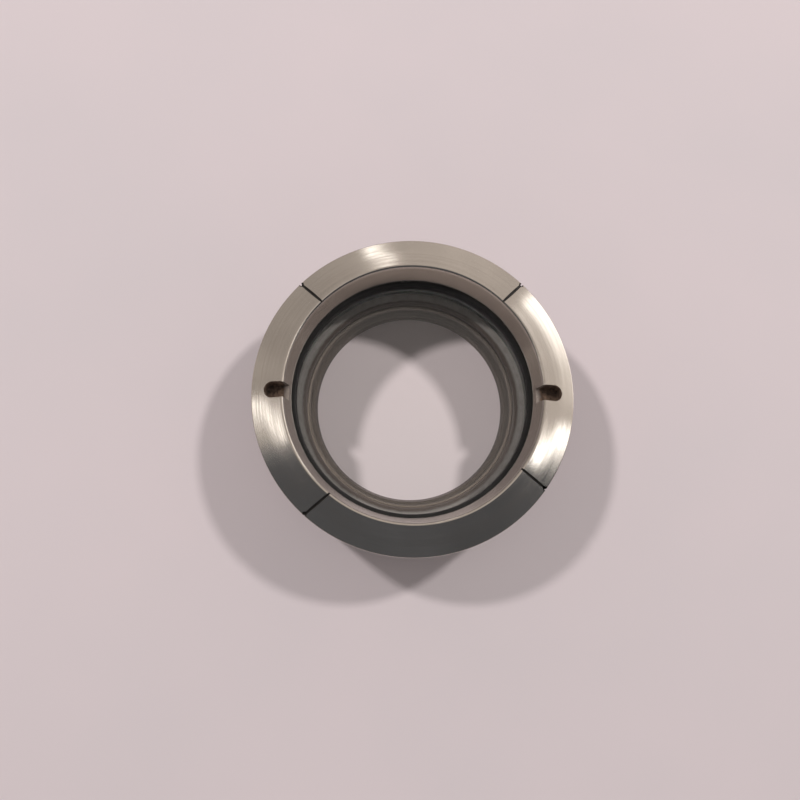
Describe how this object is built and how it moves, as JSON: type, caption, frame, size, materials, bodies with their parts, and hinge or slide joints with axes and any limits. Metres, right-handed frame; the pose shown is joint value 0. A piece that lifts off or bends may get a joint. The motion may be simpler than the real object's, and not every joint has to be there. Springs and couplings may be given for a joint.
{
  "type": "sight glass",
  "caption": "Round screwed sight glass: weld-in steel body, clear glass disc between gaskets, and a clamp nut with a sloping face and spanner slots.",
  "frame": {"origin": "centre of the weld body's underside, on the axis of the view opening", "axes": "+Z along the line of sight, from the vessel side to the viewer's side; the two spanner slots lie on +X and -X"},
  "size_m": [0.128, 0.128, 0.0449],
  "materials": {
    "nut_steel": "stainless steel, finely turned, satin",
    "body_steel": "stainless steel, turned",
    "slip_steel": "stainless steel, ground",
    "clip_steel": "spring wire, bright",
    "screw_steel": "stainless steel, satin",
    "glass": "clear borosilicate, polished faces, ground edge",
    "black_rubber": "moulded, matt",
    "seat_rubber": "moulded, matt, grey-green",
    "sleeve_ptfe": "white fluoropolymer, waxy",
    "pad_brass": "turned"
  },
  "bodies": {
    "body": {"weld_body": "body_steel", "seat_gasket": "seat_rubber", "glass_disc": "glass", "centring_sleeve": "sleeve_ptfe", "top_gasket": "black_rubber", "skirt_seal": "black_rubber"},
    "slip": {"slip_ring": "slip_steel"},
    "nut": {"clamp_nut": "nut_steel", "slip_clip": "clip_steel", "lock_screws": "screw_steel", "lock_pads": "pad_brass"}
  },
  "joints": [
    {"name": "nut_lift", "type": "slide", "parent": "body", "child": "slip", "axis": [0, 0, 1], "range_m": [0, 0.01501]},
    {"name": "nut_turn", "type": "hinge", "parent": "slip", "child": "nut", "pos_m": [0, 0, 0], "axis": [0, 0, 1], "range_deg": [0, 1800]}
  ],
  "couplings": [
    {"joint": "nut_lift", "follows": "nut_turn", "m_per_rad": 0.00047746}
  ]
}
